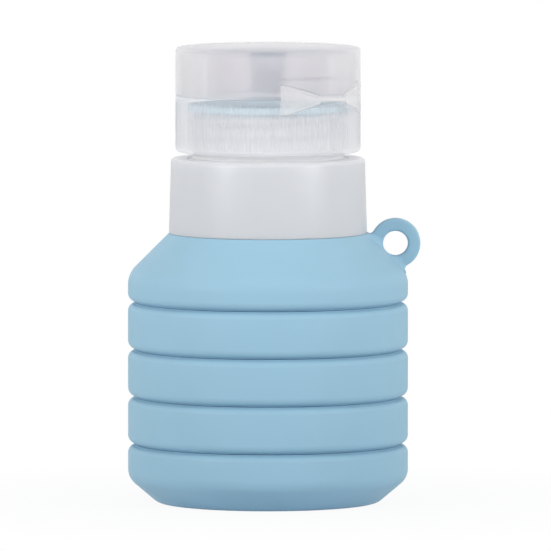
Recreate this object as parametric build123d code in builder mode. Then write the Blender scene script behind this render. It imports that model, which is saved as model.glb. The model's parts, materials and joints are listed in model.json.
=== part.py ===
"""Travel silicone bottle: a soft tiered body that draws out, a collar, and a screw-on flip-top cap.

Millimetres. The origin is on the bottle's axis at the floor, +Z is up and -Y is the front.
Heights are measured up from the floor, and radii from the bottle's axis.
"""

from build123d import *
import math
import os

# Silicone body: tiers stacked with a slit between each two
body_r = 26.0
base_h = 10.65
band_h = 8.35
slit_h = 0.45
band_count = 3
wall_t = 2.4
floor_t = 2.6
tier_top_round = 1.3
tier_foot_round = 1.5

# Base tier: bevel from the floor up to the side
foot_r = 20.5
bevel_h = 4.65
foot_round = 2.5
bevel_round = 3.0

# Folds: the tucked web between two tiers
fold_reach = 3.8
fold_t = 0.8

# Shoulder and its neck
shoulder_side_h = 5.0
shoulder_round = 4.6
cone_h = 7.6
cone_wall_t = 3.4
ledge_t = 2.0
neck_step = 0.64
neck_wall_t = 2.4
neck_h = 11.5
neck_bead_out = 1.0
neck_bead_h = 3.2
neck_bead_slope = 0.8

# Hang loop on the shoulder's right
loop_r = 4.62
loop_hole_r = 2.3
loop_t = 2.8
loop_off = 2.42
loop_room_share = 0.3805
loop_web_round = 0.55
loop_web_share = 0.55

# Collar
collar_wall_t = 1.5
collar_draft = 0.4
collar_h = 14.0
collar_top_round = 0.65
collar_snap_h = 1.1

# Neck insert
shank_step = 0.86
shank_over = 1.5
mouth_wall_t = 2.5
mouth_h = 8.6
thread_room = 1.05
insert_depth = 12.4
flange_t = 1.2
flange_in = 0.1
barb_count = 3
barb_depth = 0.6

# Seal disc
disc_t = 1.2
valve_r = 4.5
valve_rise = 1.0
valve_t = 0.5
valve_slit = 0.15
valve_slit_l = 5.0

# Cap base
cap_r = 17.18
cap_gap = 1.15
skirt_wall_t = 2.23
cap_foot_round = 0.8
deck_t = 1.6
deck_step_r = 9.3
deck_step_h = 0.8
deck_roof_t = 1.2
spout_r = 3.3
spout_draft = 0.25
spout_h = 3.8
spout_hole_r = 1.6
rib_count = 144
rib_out = 0.22
rib_w = 0.38
rib_rim_h = 0.95

# Flip lid
lid_h = 9.0
lid_wall_t = 1.1
lid_top_t = 1.3
lid_top_round = 0.65
ring_t = 1.9
plug_r = 3.4
pin_r = 1.45
pin_draft = 0.2
pin_l = 0.8

# Bow-tie hinge, its middle turned from the front towards the right
hinge_turn = 44.0
plate_end_u = 9.85
plate_end_half = 2.8
plate_apex_u = 3.2
plate_apex_half = 0.75
plate_in = 0.53
plate_out = 0.45
roll_r = 0.45
roll_lap = 0.2
pocket_depth = 1.48
pocket_room = 0.25

# Thumb scoop in the cap base, opposite the hinge
thumb_r = 40.0
thumb_depth = 1.2
thumb_h = 2.4

# Clearances
fit_gap = 0.05
run_gap = 0.03
slide_gap = 0.1
overrun = 1.0

# Levels up the bottle
band_rise = band_h + slit_h
shoulder_z = base_h + band_count * band_rise + slit_h
cone_foot_z = shoulder_z + shoulder_side_h
ledge_z = cone_foot_z + cone_h
neck_top_z = ledge_z + neck_h
flange_top_z = neck_top_z + flange_t
collar_top_z = ledge_z + collar_h
skirt_z = collar_top_z + cap_gap
mouth_z = flange_top_z + mouth_h + shank_over
disc_top_z = mouth_z + disc_t
parting_z = disc_top_z + deck_t
lid_top_z = parting_z + lid_h
lid_roof_z = lid_top_z - lid_top_t
deck_top_z = parting_z + deck_step_h
spout_top_z = deck_top_z + spout_h

# Radii: the body's inside, then from the cap inwards to the mouth and out again to the collar
inner_r = body_r - wall_t
skirt_bore_r = cap_r - skirt_wall_t
mouth_r = skirt_bore_r - thread_room
mouth_bore_r = mouth_r - mouth_wall_t
shank_r = mouth_r + shank_step
neck_r = shank_r + neck_step
neck_bore_r = neck_r - neck_wall_t
neck_bead_r = neck_r + neck_bead_out
collar_bore_r = neck_bead_r + slide_gap
collar_top_r = collar_bore_r + collar_wall_t
collar_r = collar_top_r + collar_draft

# Places round the cap
hinge_out = Vector(0, -1, 0).rotate(Axis.Z, hinge_turn)
hinge_along = Vector(1, 0, 0).rotate(Axis.Z, hinge_turn)
hinge_point = hinge_out * cap_r + Vector(0, 0, parting_z)
hinge_face = Plane(origin=hinge_point, x_dir=hinge_along, z_dir=hinge_out)
hinge_line = Plane(origin=hinge_point, x_dir=hinge_out, z_dir=hinge_along)


def outline(*corners):
    """A closed section in the XZ plane; each corner is its radius, its height and its rounding."""
    with BuildSketch(Plane.XZ) as section:
        with BuildLine():
            FilletPolyline(
                [(r, z) for r, z, _ in corners],
                radius=[rounding for _, _, rounding in corners],
                close=True,
            )
        make_face()
    return section.sketch


def write(piece, name):
    """Label a finished piece and write it to its own file."""
    piece.part.label = name
    export_step(piece.part, f"parts/{name}.step")


os.makedirs("parts", exist_ok=True)

# Base cup: floor, bevel and the lowest tier
with BuildPart() as base_cup:
    revolve(
        outline(
            (0, 0, 0),
            (foot_r, 0, foot_round),
            (body_r, bevel_h, bevel_round),
            (body_r, base_h, tier_top_round),
            (inner_r, base_h, 0),
            (inner_r, bevel_h + floor_t / 2, 0),
            (foot_r - wall_t / 2, floor_t, 0),
            (0, floor_t, 0),
        ),
        axis=Axis.Z,
    )
write(base_cup, "base_cup")

# Bands: plain tiers, open above and below
for number in range(1, band_count + 1):
    foot_z = base_h + slit_h + (number - 1) * band_rise
    with BuildPart() as band:
        revolve(
            outline(
                (inner_r, foot_z, 0),
                (body_r, foot_z, tier_foot_round),
                (body_r, foot_z + band_h, tier_top_round),
                (inner_r, foot_z + band_h, 0),
            ),
            axis=Axis.Z,
        )
    write(band, f"band_{number}")

# Folds: each a U on its side, open to the slit that it closes
fold_edge_r = inner_r - fit_gap
fold_rim_r = inner_r - fold_reach
for number in range(1, band_count + 2):
    slit_z = base_h + (number - 1) * band_rise
    with BuildPart() as fold:
        revolve(
            outline(
                (fold_edge_r, slit_z - fold_t, 0),
                (fold_edge_r, slit_z, 0),
                (fold_rim_r + fold_t, slit_z, 0),
                (fold_rim_r + fold_t, slit_z + slit_h, 0),
                (fold_edge_r, slit_z + slit_h, 0),
                (fold_edge_r, slit_z + slit_h + fold_t, 0),
                (fold_rim_r, slit_z + slit_h + fold_t, 0),
                (fold_rim_r, slit_z - fold_t, 0),
            ),
            axis=Axis.Z,
        )
    write(fold, f"fold_{number}")

# Shoulder: top tier, cone, and the soft neck that the collar hides
cone_bore_z = ledge_z - ledge_t
cone_slope = (body_r - collar_r) / cone_h
cone_top_bore_r = collar_r + ledge_t * cone_slope - cone_wall_t
cone_foot_bore_z = cone_bore_z - (inner_r - cone_top_bore_r) / cone_slope
neck_bead_z = neck_top_z - neck_bead_h
with BuildPart() as shoulder:
    revolve(
        outline(
            (inner_r, shoulder_z, 0),
            (body_r, shoulder_z, tier_foot_round),
            (body_r, cone_foot_z, shoulder_round),
            (collar_r, ledge_z, 0),
            (neck_r, ledge_z, 0),
            (neck_r, neck_bead_z - neck_bead_slope, 0),
            (neck_bead_r, neck_bead_z, 0),
            (neck_bead_r, neck_top_z, 0),
            (neck_bore_r, neck_top_z, 0),
            (neck_bore_r, cone_bore_z, 0),
            (cone_top_bore_r, cone_bore_z, 0),
            (inner_r, cone_foot_bore_z, 0),
        ),
        axis=Axis.Z,
    )
write(shoulder, "shoulder")

# Hang loop: an eye whose foot is shaped to the cone, with a web in each corner
cone_run = math.hypot(body_r - collar_r, cone_h)
cone_down = Vector(body_r - collar_r, -cone_h) / cone_run
cone_out = Vector(cone_h, body_r - collar_r) / cone_run
cone_top = Vector(collar_r, ledge_z)
cone_foot = Vector(body_r, cone_foot_z)
loop_foot = 2 * math.sqrt(loop_r**2 - loop_off**2)
loop_room = (cone_run - loop_foot) * loop_room_share
loop_middle = cone_top + cone_down * (loop_room + loop_foot / 2) + cone_out * loop_off
with BuildPart() as hang_loop:
    with BuildSketch(Plane.XZ) as eye:
        with Locations(loop_middle):
            Circle(loop_r)
        with BuildLine():
            Polyline(
                cone_top,
                cone_foot,
                (neck_bore_r, cone_foot_z),
                (neck_bore_r, ledge_z),
                close=True,
            )
        make_face()
        corners = eye.vertices().filter_by(
            lambda v: abs((Vector(v.X, v.Y) - loop_middle).length - loop_r) < fit_gap
            and abs((Vector(v.X, v.Y) - loop_middle).dot(cone_out) + loop_off) < fit_gap
        )
        fillet(corners, min(loop_web_round, loop_room * loop_web_share))
        with BuildLine():
            Polyline(
                cone_top + cone_out * run_gap,
                cone_foot + cone_out * run_gap,
                (body_r, shoulder_z),
                (neck_bore_r, shoulder_z),
                (neck_bore_r, neck_top_z),
                close=True,
            )
        make_face(mode=Mode.SUBTRACT)
        with Locations(loop_middle):
            Circle(loop_hole_r, mode=Mode.SUBTRACT)
    extrude(amount=loop_t / 2, both=True)
write(hang_loop, "hang_loop")

# Collar: tapered wall, a lip over the flange, and a snap bead at its foot
with BuildPart() as collar:
    revolve(
        outline(
            (neck_r + slide_gap, ledge_z, 0),
            (collar_r, ledge_z, 0),
            (collar_top_r, collar_top_z, collar_top_round),
            (shank_r + slide_gap, collar_top_z, 0),
            (shank_r + slide_gap, flange_top_z, 0),
            (collar_bore_r, flange_top_z, 0),
            (collar_bore_r, ledge_z + collar_snap_h + neck_bead_out, 0),
            (neck_r + slide_gap, ledge_z + collar_snap_h, 0),
        ),
        axis=Axis.Z,
    )
write(collar, "collar")

# Neck insert: barbed tube, flange under the collar's lip, shank, and mouth
barb_r = neck_bore_r - fit_gap
barb_h = insert_depth / barb_count
barbs = []
for number in range(barb_count):
    barb_z = neck_top_z - insert_depth + number * barb_h
    barbs.append((barb_r - barb_depth, barb_z, 0))
    barbs.append((barb_r, barb_z + barb_h - barb_depth, 0))
    barbs.append((barb_r, barb_z + barb_h, 0))
with BuildPart() as neck_insert:
    revolve(
        outline(
            *barbs,
            (neck_r - flange_in, neck_top_z, 0),
            (neck_r - flange_in, flange_top_z, 0),
            (shank_r, flange_top_z, 0),
            (shank_r, skirt_z + slide_gap, 0),
            (mouth_r, skirt_z + slide_gap, 0),
            (mouth_r, mouth_z, 0),
            (mouth_bore_r, mouth_z, 0),
            (mouth_bore_r, neck_top_z - insert_depth, 0),
        ),
        axis=Axis.Z,
    )
write(neck_insert, "neck_insert")

# Seal disc: flat ring over the mouth, with a slit dome at its middle
with BuildPart() as seal_disc:
    revolve(
        outline(
            (0, mouth_z + valve_rise, 0),
            (valve_r - valve_t, mouth_z + valve_rise, valve_t),
            (valve_r - valve_t, mouth_z, 0),
            (skirt_bore_r - slide_gap, mouth_z, 0),
            (skirt_bore_r - slide_gap, disc_top_z, 0),
            (valve_r, disc_top_z, 0),
            (valve_r, disc_top_z + valve_rise, valve_t),
            (0, disc_top_z + valve_rise, 0),
        ),
        axis=Axis.Z,
    )
    with BuildSketch(Plane.XY.offset(mouth_z)):
        Rectangle(valve_slit, valve_slit_l)
        Rectangle(valve_slit_l, valve_slit)
    extrude(amount=disc_t + valve_rise + overrun, mode=Mode.SUBTRACT)
write(seal_disc, "seal_disc")


def bow_tie(room):
    """Both hinge plates seen square on, grown on every side by the room given."""
    with BuildSketch(hinge_face) as plates:
        with BuildLine():
            Polyline(
                (plate_apex_u - room, plate_apex_half + room),
                (plate_end_u + room, plate_end_half + room),
                (plate_end_u + room, -plate_end_half - room),
                (plate_apex_u - room, -plate_apex_half - room),
                close=True,
            )
        make_face()
        mirror(about=Plane.YZ)
    return plates.sketch


# Pocket: what the hinge plates and their roll need, cut from the cap base and the lid alike
plate_level_z = parting_z - lid_h
plate_level_h = 2 * lid_h
with BuildPart() as hinge_pocket:
    extrude(bow_tie(pocket_room), amount=cap_r / 2, both=True)
    with BuildSketch(Plane.XY.offset(plate_level_z)):
        Circle(cap_r - pocket_depth)
    extrude(amount=plate_level_h, mode=Mode.SUBTRACT)
    with BuildSketch(hinge_line):
        Circle(roll_r + run_gap)
    extrude(amount=plate_apex_u + roll_lap + pocket_room, both=True)

# Cap base: ribbed skirt, deck with its raised middle, and the spout
skirt_root_r = cap_r - rib_out
with BuildPart() as cap_base:
    revolve(
        outline(
            (skirt_bore_r, skirt_z, 0),
            (cap_r, skirt_z, cap_foot_round),
            (cap_r, skirt_z + rib_rim_h, 0),
            (skirt_root_r, skirt_z + rib_rim_h, 0),
            (skirt_root_r, parting_z - rib_rim_h, 0),
            (cap_r, parting_z - rib_rim_h, 0),
            (cap_r, parting_z, 0),
            (deck_step_r, parting_z, 0),
            (deck_step_r, deck_top_z, 0),
            (spout_r, deck_top_z, 0),
            (spout_r - spout_draft, spout_top_z, 0),
            (spout_hole_r, spout_top_z, 0),
            (spout_hole_r, deck_top_z - deck_roof_t, 0),
            (valve_r + valve_t, deck_top_z - deck_roof_t, 0),
            (valve_r + valve_t, disc_top_z, 0),
            (skirt_bore_r, disc_top_z, 0),
        ),
        axis=Axis.Z,
    )
    with BuildSketch(Plane.XY.offset(skirt_z + rib_rim_h)):
        with PolarLocations(skirt_root_r, rib_count):
            Rectangle(2 * rib_out, rib_w)
    extrude(amount=parting_z - skirt_z - 2 * rib_rim_h)
    add(hinge_pocket.part, mode=Mode.SUBTRACT)
    with BuildSketch(Plane.XY.offset(parting_z)):
        with Locations(-hinge_out * (cap_r + thumb_r - thumb_depth)):
            Circle(thumb_r)
    extrude(amount=-thumb_h, mode=Mode.SUBTRACT)
write(cap_base, "cap_base")

# Bow-tie hinge: two curved plates joined by a roll on the hinge line
with BuildPart() as bow_tie_hinge:
    extrude(bow_tie(0), amount=cap_r / 2, both=True)
    with BuildSketch(Plane.XY.offset(plate_level_z)):
        Circle(cap_r + plate_out)
        Circle(cap_r - plate_in, mode=Mode.SUBTRACT)
    extrude(amount=plate_level_h, mode=Mode.INTERSECT)
    with BuildSketch(hinge_line):
        Circle(roll_r)
    extrude(amount=plate_apex_u + roll_lap, both=True)
write(bow_tie_hinge, "bow_tie_hinge")

# Flip lid: shell, the ring that closes round the deck's step, and the plug over the spout
ring_bore_r = deck_step_r + slide_gap
lid_bore_r = cap_r - lid_wall_t
with BuildPart() as flip_lid:
    revolve(
        outline(
            (0, lid_top_z, 0),
            (cap_r, lid_top_z, lid_top_round),
            (cap_r, parting_z, 0),
            (lid_bore_r, parting_z, 0),
            (lid_bore_r, lid_roof_z, 0),
            (ring_bore_r + ring_t, lid_roof_z, 0),
            (ring_bore_r + ring_t, parting_z + slide_gap, 0),
            (ring_bore_r, parting_z + slide_gap, 0),
            (ring_bore_r, lid_roof_z, 0),
            (plug_r, lid_roof_z, 0),
            (plug_r, spout_top_z + slide_gap, 0),
            (pin_r, spout_top_z + slide_gap, 0),
            (pin_r - pin_draft, spout_top_z - pin_l, 0),
            (0, spout_top_z - pin_l, 0),
        ),
        axis=Axis.Z,
    )
    add(hinge_pocket.part, mode=Mode.SUBTRACT)
write(flip_lid, "flip_lid")

# Brimful volume: the cavity up to the mouth, drawn as one solid of revolution
with BuildPart() as cavity:
    revolve(
        outline(
            (0, floor_t, 0),
            (foot_r - wall_t / 2, floor_t, 0),
            (inner_r, bevel_h + floor_t / 2, 0),
            (inner_r, cone_foot_bore_z, 0),
            (cone_top_bore_r, cone_bore_z, 0),
            (mouth_bore_r, cone_bore_z, 0),
            (mouth_bore_r, mouth_z, 0),
            (0, mouth_z, 0),
        ),
        axis=Axis.Z,
    )
print("brimful, folds left out:", round(cavity.part.volume / CM**3, 1), "ml")
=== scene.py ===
"""A travel bottle of pale blue silicone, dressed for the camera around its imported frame.

The file is laid out as an add-on and is run as a script. Lengths are metres, and the names ending in
_mm are millimetres. Turns round the bottle are measured from the front, -Y, towards the right, +X.
"""

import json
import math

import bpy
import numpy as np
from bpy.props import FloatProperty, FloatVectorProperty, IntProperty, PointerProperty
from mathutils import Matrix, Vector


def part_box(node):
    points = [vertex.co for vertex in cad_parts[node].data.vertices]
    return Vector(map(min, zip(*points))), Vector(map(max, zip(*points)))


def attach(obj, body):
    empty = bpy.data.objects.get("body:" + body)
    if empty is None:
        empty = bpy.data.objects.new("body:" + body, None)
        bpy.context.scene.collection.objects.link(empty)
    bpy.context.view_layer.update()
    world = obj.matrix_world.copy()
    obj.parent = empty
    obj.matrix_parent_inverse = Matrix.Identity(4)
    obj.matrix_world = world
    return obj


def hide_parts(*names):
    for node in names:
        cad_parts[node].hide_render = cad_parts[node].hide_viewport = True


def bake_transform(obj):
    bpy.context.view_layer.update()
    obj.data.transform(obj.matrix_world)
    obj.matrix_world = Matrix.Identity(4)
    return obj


bl_info = {
    "name": "Travel Silicone Bottle",
    "version": (1, 0, 0),
    "blender": (4, 5, 0),
    "location": "3D View > Sidebar > Bottle",
    "description": "Builds a tiered silicone bottle with its collar and flip-top cap",
    "category": "Add Mesh",
}

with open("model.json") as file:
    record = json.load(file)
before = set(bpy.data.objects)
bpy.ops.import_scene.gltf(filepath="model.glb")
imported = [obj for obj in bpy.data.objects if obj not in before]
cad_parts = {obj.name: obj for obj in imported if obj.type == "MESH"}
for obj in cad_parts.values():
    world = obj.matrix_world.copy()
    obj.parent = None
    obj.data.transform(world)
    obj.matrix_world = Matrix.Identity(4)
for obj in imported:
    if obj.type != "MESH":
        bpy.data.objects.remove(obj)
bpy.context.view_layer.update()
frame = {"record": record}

MM = 0.001
TAU = 2 * math.pi


def node_low(node):
    """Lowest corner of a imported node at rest."""
    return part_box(node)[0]


def node_high(node):
    """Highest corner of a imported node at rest."""
    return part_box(node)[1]


def joint_named(name):
    """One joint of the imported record."""
    for joint in frame["record"]["behaviour"]["joints"]:
        if joint["name"] == name:
            return joint
    raise KeyError(name)


def mount_place(name):
    """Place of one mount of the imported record."""
    for mount in frame["record"]["mounts"]:
        if mount["name"] == name:
            return mount["pos_m"]
    raise KeyError(name)


# Levels and radii that the frame gives
BODY_R = node_high("band_1")[0]
INNER_R = node_high("fold_1")[0]
LEDGE_Z = node_low("collar")[2]
COLLAR_TOP_Z = node_high("collar")[2]
COLLAR_FOOT_R = node_high("collar")[0]
SKIRT_Z = node_low("cap_base")[2]
SPOUT_Z = node_high("cap_base")[2]
CAP_R = node_high("flip_lid")[1]
LID_Z = node_high("flip_lid")[2]
MOUTH_Z = node_high("neck_insert")[2]
INSERT_FOOT_Z = node_low("neck_insert")[2]
FLANGE_R = node_high("neck_insert")[1]
DISC_R = node_high("seal_disc")[1]
VALVE_Z = node_high("seal_disc")[2]
HINGE_POINT = np.array(joint_named("lid_flip")["pos_m"])
HINGE_ALONG = np.array(joint_named("lid_flip")["axis"])
HINGE_OUT = np.array([HINGE_ALONG[1], -HINGE_ALONG[0], 0.0])
HINGE_TURN = math.atan2(HINGE_OUT[0], -HINGE_OUT[1])
PARTING_Z = HINGE_POINT[2]
BAND_COUNT = 3
FOLD_COUNT = BAND_COUNT + 1
TIER_BODIES = ["base"] + [f"band_{n}" for n in range(1, BAND_COUNT + 1)] + ["neck"]


class BottleSilicone(bpy.types.PropertyGroup):
    """Sizes and colour of the soft body."""

    colour: FloatVectorProperty(
        name="Silicone", description="Colour of the soft body", subtype="COLOR", size=3,
        min=0, max=1, default=(0.322, 0.535, 0.672),
    )
    top_round: FloatProperty(
        name="Top rounding", description="Rounding of each tier's upper edge",
        default=1.3 * MM, unit="LENGTH",
    )
    foot_round: FloatProperty(
        name="Foot rounding", description="Rounding of each tier's lower edge",
        default=1.5 * MM, unit="LENGTH",
    )
    loop_hole: FloatProperty(
        name="Eye radius", description="Radius of the hang loop's hole", default=2.3 * MM, unit="LENGTH",
    )
    loop_round: FloatProperty(
        name="Loop rounding", description="Rounding of the hang loop's edges",
        default=0.45 * MM, unit="LENGTH",
    )


class BottlePlastic(bpy.types.PropertyGroup):
    """Sizes and colours of the hard pieces."""

    collar_colour: FloatVectorProperty(
        name="Collar", description="Colour of the collar", subtype="COLOR", size=3,
        min=0, max=1, default=(0.64, 0.65, 0.675),
    )
    frosted_colour: FloatVectorProperty(
        name="Frosted plastic", description="Colour of the cap, the lid and the neck",
        subtype="COLOR", size=3, min=0, max=1, default=(0.95, 0.93, 0.925),
    )
    seal_colour: FloatVectorProperty(
        name="Seal", description="Colour of the seal disc", subtype="COLOR", size=3,
        min=0, max=1, default=(0.56, 0.73, 0.80),
    )
    rib_count: IntProperty(name="Ribs", description="Grip ribs round the cap", default=144)
    rib_out: FloatProperty(
        name="Rib height", description="How far the grip ribs stand out", default=0.13 * MM, unit="LENGTH",
    )
    thread_pitch: FloatProperty(
        name="Thread pitch", description="Rise of the screw thread in one turn",
        default=2.8 * MM, unit="LENGTH",
    )
    thread_turns: FloatProperty(name="Thread turns", description="Turns of the screw thread", default=2.1)


def silicone_settings():
    """The soft body's settings in this scene."""
    return bpy.context.scene.bottle_silicone


def plastic_settings():
    """The hard pieces' settings in this scene."""
    return bpy.context.scene.bottle_plastic


# Surfaces

# Points closer than this become one
WELD = 0.0005 * MM
# Columns round the widest pieces
ROUND_STEPS = 320


def surface(name, points, around=True, across=True, sharp=40):
    """A mesh from a grid of points, an array of columns by rows by 3.

    Each face joins neighbouring columns and rows. Equal points are welded, faces that this leaves
    without area are dropped, and the faces are turned outwards by the sign of the volume.
    """
    columns, rows = points.shape[:2]
    index = np.arange(columns * rows).reshape(columns, rows)
    if around:
        index = np.vstack([index, index[:1]])
    if across:
        index = np.hstack([index, index[:, :1]])
    quads = np.stack([index[:-1, :-1], index[1:, :-1], index[1:, 1:], index[:-1, 1:]], axis=-1)
    return mesh_of(name, points.reshape(-1, 3), quads.reshape(-1, 4), sharp)


def mesh_of(name, points, quads, sharp=40):
    """A welded mesh object from points and four-cornered faces, smooth but for edges past the sharp angle."""
    keys = np.round(points / WELD).astype(np.int64)
    _, first, back = np.unique(keys, axis=0, return_index=True, return_inverse=True)
    points = points[first]
    quads = back.reshape(-1)[quads]
    same = quads == np.roll(quads, -1, axis=1)
    crossed = (quads[:, 0] == quads[:, 2]) | (quads[:, 1] == quads[:, 3])
    whole = quads[(same.sum(axis=1) == 0) & ~crossed]
    pinched = (same.sum(axis=1) == 1) & ~crossed
    left = quads[pinched]
    drop = same[pinched].argmax(axis=1)
    keep = np.arange(4)[None, :] != drop[:, None]
    thirds = left[keep].reshape(-1, 3)
    corners = points[np.vstack([thirds, whole[:, :3], whole[:, [0, 2, 3]]])]
    volume = np.einsum("ij,ij->i", corners[:, 0], np.cross(corners[:, 1], corners[:, 2])).sum()
    if volume < 0:
        whole, thirds = whole[:, ::-1], thirds[:, ::-1]
    mesh = bpy.data.meshes.new(name)
    mesh.from_pydata(points.tolist(), [], whole.tolist() + thirds.tolist())
    mesh.validate()
    mesh.update()
    mesh.shade_smooth()
    mesh.set_sharp_from_angle(angle=math.radians(sharp))
    piece = bpy.data.objects.new(name, mesh)
    bpy.context.scene.collection.objects.link(piece)
    return piece


def outline(corners, closed=True, steps=7):
    """A section as points (radius, height), from corners (radius, height, rounding).

    A rounded corner is an arc that touches both sides: it starts rounding / tan(half the inside
    angle) from the corner, and its centre is rounding / sin(half that angle) away on the bisector.
    """
    places = np.array([corner[:2] for corner in corners], float)
    points = []
    last = len(corners) - 1
    for i, (_, _, rounding) in enumerate(corners):
        corner = places[i]
        if rounding <= 0 or (not closed and i in (0, last)):
            points.append(corner[None])
            continue
        before = places[i - 1] - corner
        after = places[(i + 1) % len(corners)] - corner
        before /= np.linalg.norm(before)
        after /= np.linalg.norm(after)
        half = math.acos(np.clip(before @ after, -1, 1)) / 2
        bisector = (before + after) / np.linalg.norm(before + after)
        centre = corner + bisector * rounding / math.sin(half)
        start = corner + before * rounding / math.tan(half) - centre
        end = corner + after * rounding / math.tan(half) - centre
        sweep = math.acos(np.clip(start @ end / rounding**2, -1, 1))
        t = np.linspace(0, 1, steps)[:, None]
        arc = (np.sin((1 - t) * sweep) * start + np.sin(t * sweep) * end) / math.sin(sweep)
        points.append(centre + arc)
    return np.vstack(points)


def turned(name, section, steps=256, sharp=40):
    """A closed solid of revolution: each point of the section goes round the bottle's axis."""
    angle = np.linspace(0, TAU, steps, endpoint=False)[:, None]
    radius, height = section[None, :, 0], section[None, :, 1]
    points = np.stack(np.broadcast_arrays(radius * np.sin(angle), -radius * np.cos(angle), height), axis=-1)
    return surface(name, points, sharp=sharp)


def swept_columns(angle, rows):
    """Points of columns at the given turns, from rows of (radius, height) that may differ by column."""
    radius = np.stack([np.broadcast_to(r, angle.shape) for r, _ in rows], axis=1)
    height = np.stack([np.broadcast_to(z, angle.shape) for _, z in rows], axis=1)
    turn = angle[:, None]
    return np.stack([radius * np.sin(turn), -radius * np.cos(turn), height], axis=-1)


def closed_ends(points):
    """Columns of a tube, with each end drawn together to the middle of its column."""
    ends = points[[0, -1]].mean(axis=1, keepdims=True).repeat(points.shape[1], axis=1)
    return np.concatenate([ends[:1], points, ends[1:]])


def smooth(x):
    """Smooth step: 0 below 0, 1 above 1, and 3 x squared less 2 x cubed between."""
    x = np.clip(x, 0, 1)
    return x * x * (3 - 2 * x)


# Materials


def wired(tree, kind, **inputs):
    """A shader node of a kind, its inputs set to values or linked to outputs, by name with underlines."""
    node = tree.nodes.new("ShaderNode" + kind)
    for name, value in inputs.items():
        socket = node.inputs[name.replace("_", " ")]
        if isinstance(value, bpy.types.NodeSocket):
            tree.links.new(value, socket)
        else:
            socket.default_value = value
    return node


class Finish:
    """A material being wired: its Principled shader, its nodes, and noise on Object coordinates."""

    def __init__(self, name):
        self.material = bpy.data.materials.new(name)
        self.material.use_nodes = True
        self.tree = self.material.node_tree
        self.shader = self.tree.nodes["Principled BSDF"]
        self.output = self.tree.nodes["Material Output"]
        self.place = wired(self.tree, "TexCoord").outputs["Object"]

    def set(self, **values):
        """Sets the shader's own sockets, named with underlines for spaces."""
        for socket, value in values.items():
            self.shader.inputs[socket.replace("_", " ")].default_value = value

    def noise(self, size, detail=3.0, stretch=None):
        """Noise whose lumps are about size metres across, drawn out along Z where stretch is given."""
        place = self.place
        if stretch:
            place = wired(self.tree, "Mapping", Vector=place, Scale=(1, 1, 1 / stretch)).outputs["Vector"]
        lumps = wired(self.tree, "TexNoise", Vector=place, Scale=1 / size, Detail=detail, Roughness=0.55)
        return lumps.outputs["Fac"]

    def tinted(self, factor, colour):
        """Draws the base colour, set or linked, towards another colour by a factor."""
        base = self.shader.inputs["Base Color"]
        mix = self.tree.nodes.new("ShaderNodeMix")
        mix.data_type = "RGBA"
        mix.inputs["A"].default_value = base.default_value
        mix.inputs["B"].default_value = (*colour, 1)
        if base.links:
            self.tree.links.new(base.links[0].from_socket, mix.inputs["A"])
        self.tree.links.new(factor, mix.inputs["Factor"])
        self.tree.links.new(mix.outputs["Result"], base)

    def spanned(self, value, start, end, low=0.0, high=1.0):
        """A value mapped to run from low at start to high at end."""
        ends = {"From_Min": start, "From_Max": end, "To_Min": low, "To_Max": high}
        return wired(self.tree, "MapRange", Value=value, **ends).outputs["Result"]

    def height(self, low, high):
        """How far up between two levels a point of the piece lies, from 0 to 1."""
        return self.spanned(wired(self.tree, "SeparateXYZ", Vector=self.place).outputs["Z"], low, high)

    def roughened(self, size, low, high):
        """Lets the roughness wander between two numbers, in patches about size metres across."""
        wander = self.spanned(self.noise(size), 0.3, 0.7, low, high)
        self.tree.links.new(wander, self.shader.inputs["Roughness"])

    def bumped(self, *layers):
        """Adds bumps, each a (factor, depth in metres) pair, one on top of the other."""
        normal = None
        for factor, depth in layers:
            bump = wired(self.tree, "Bump", Distance=depth, Height=factor)
            if normal:
                self.tree.links.new(normal, bump.inputs["Normal"])
            normal = bump.outputs["Normal"]
        self.tree.links.new(normal, self.shader.inputs["Normal"])


def shade(colour, factor):
    """A colour times a factor, kept within 0 and 1."""
    return tuple(min(max(c * factor, 0), 1) for c in colour)


def silicone_finish(name, colour, grain):
    """Matt moulded silicone: a fine blasted grain, a little light let in, and faint clouds of colour."""
    finish = Finish(name)
    finish.set(IOR=1.41, Subsurface_Weight=0.08, Subsurface_Scale=1.2 * MM, Specular_IOR_Level=0.36)
    finish.set(Subsurface_Radius=(0.55, 0.85, 1.0), Sheen_Weight=0.05, Sheen_Roughness=0.5)
    finish.set(Base_Color=(*shade(colour, 0.975), 1))
    finish.tinted(finish.noise(9 * MM, detail=4), shade(colour, 1.025))
    finish.roughened(3 * MM, 0.5, 0.6)
    finish.bumped((finish.noise(6 * MM, detail=2), 0.05 * MM), (finish.noise(grain, detail=2), 0.006 * MM))
    return finish.material


def collar_finish(name, colour):
    """White polypropylene with a satin skin: faint flow marks up the wall and a very fine grain.

    The flat of the lip is painted paler than the wall: painted light, standing in for the light that comes
    through the frosted cap onto it.
    """
    finish = Finish(name)
    finish.set(IOR=1.49, Subsurface_Weight=0.6, Subsurface_Scale=3.0 * MM, Specular_IOR_Level=0.5)
    finish.set(Subsurface_Radius=(0.9, 0.95, 1.0))
    finish.set(Base_Color=(*shade(colour, 0.985), 1))
    flow = finish.noise(4 * MM, detail=3, stretch=5)
    finish.tinted(flow, shade(colour, 1.015))
    # Painted light: the lip's top flat is drawn to a colour 1.4 times paler than the wall.
    finish.tinted(finish.height(COLLAR_TOP_Z - 0.16 * MM, COLLAR_TOP_Z - 0.02 * MM), shade(colour, 1.4))
    finish.roughened(2 * MM, 0.34, 0.42)
    finish.bumped((flow, 0.03 * MM), (finish.noise(0.3 * MM), 0.002 * MM))
    return finish.material


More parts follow.
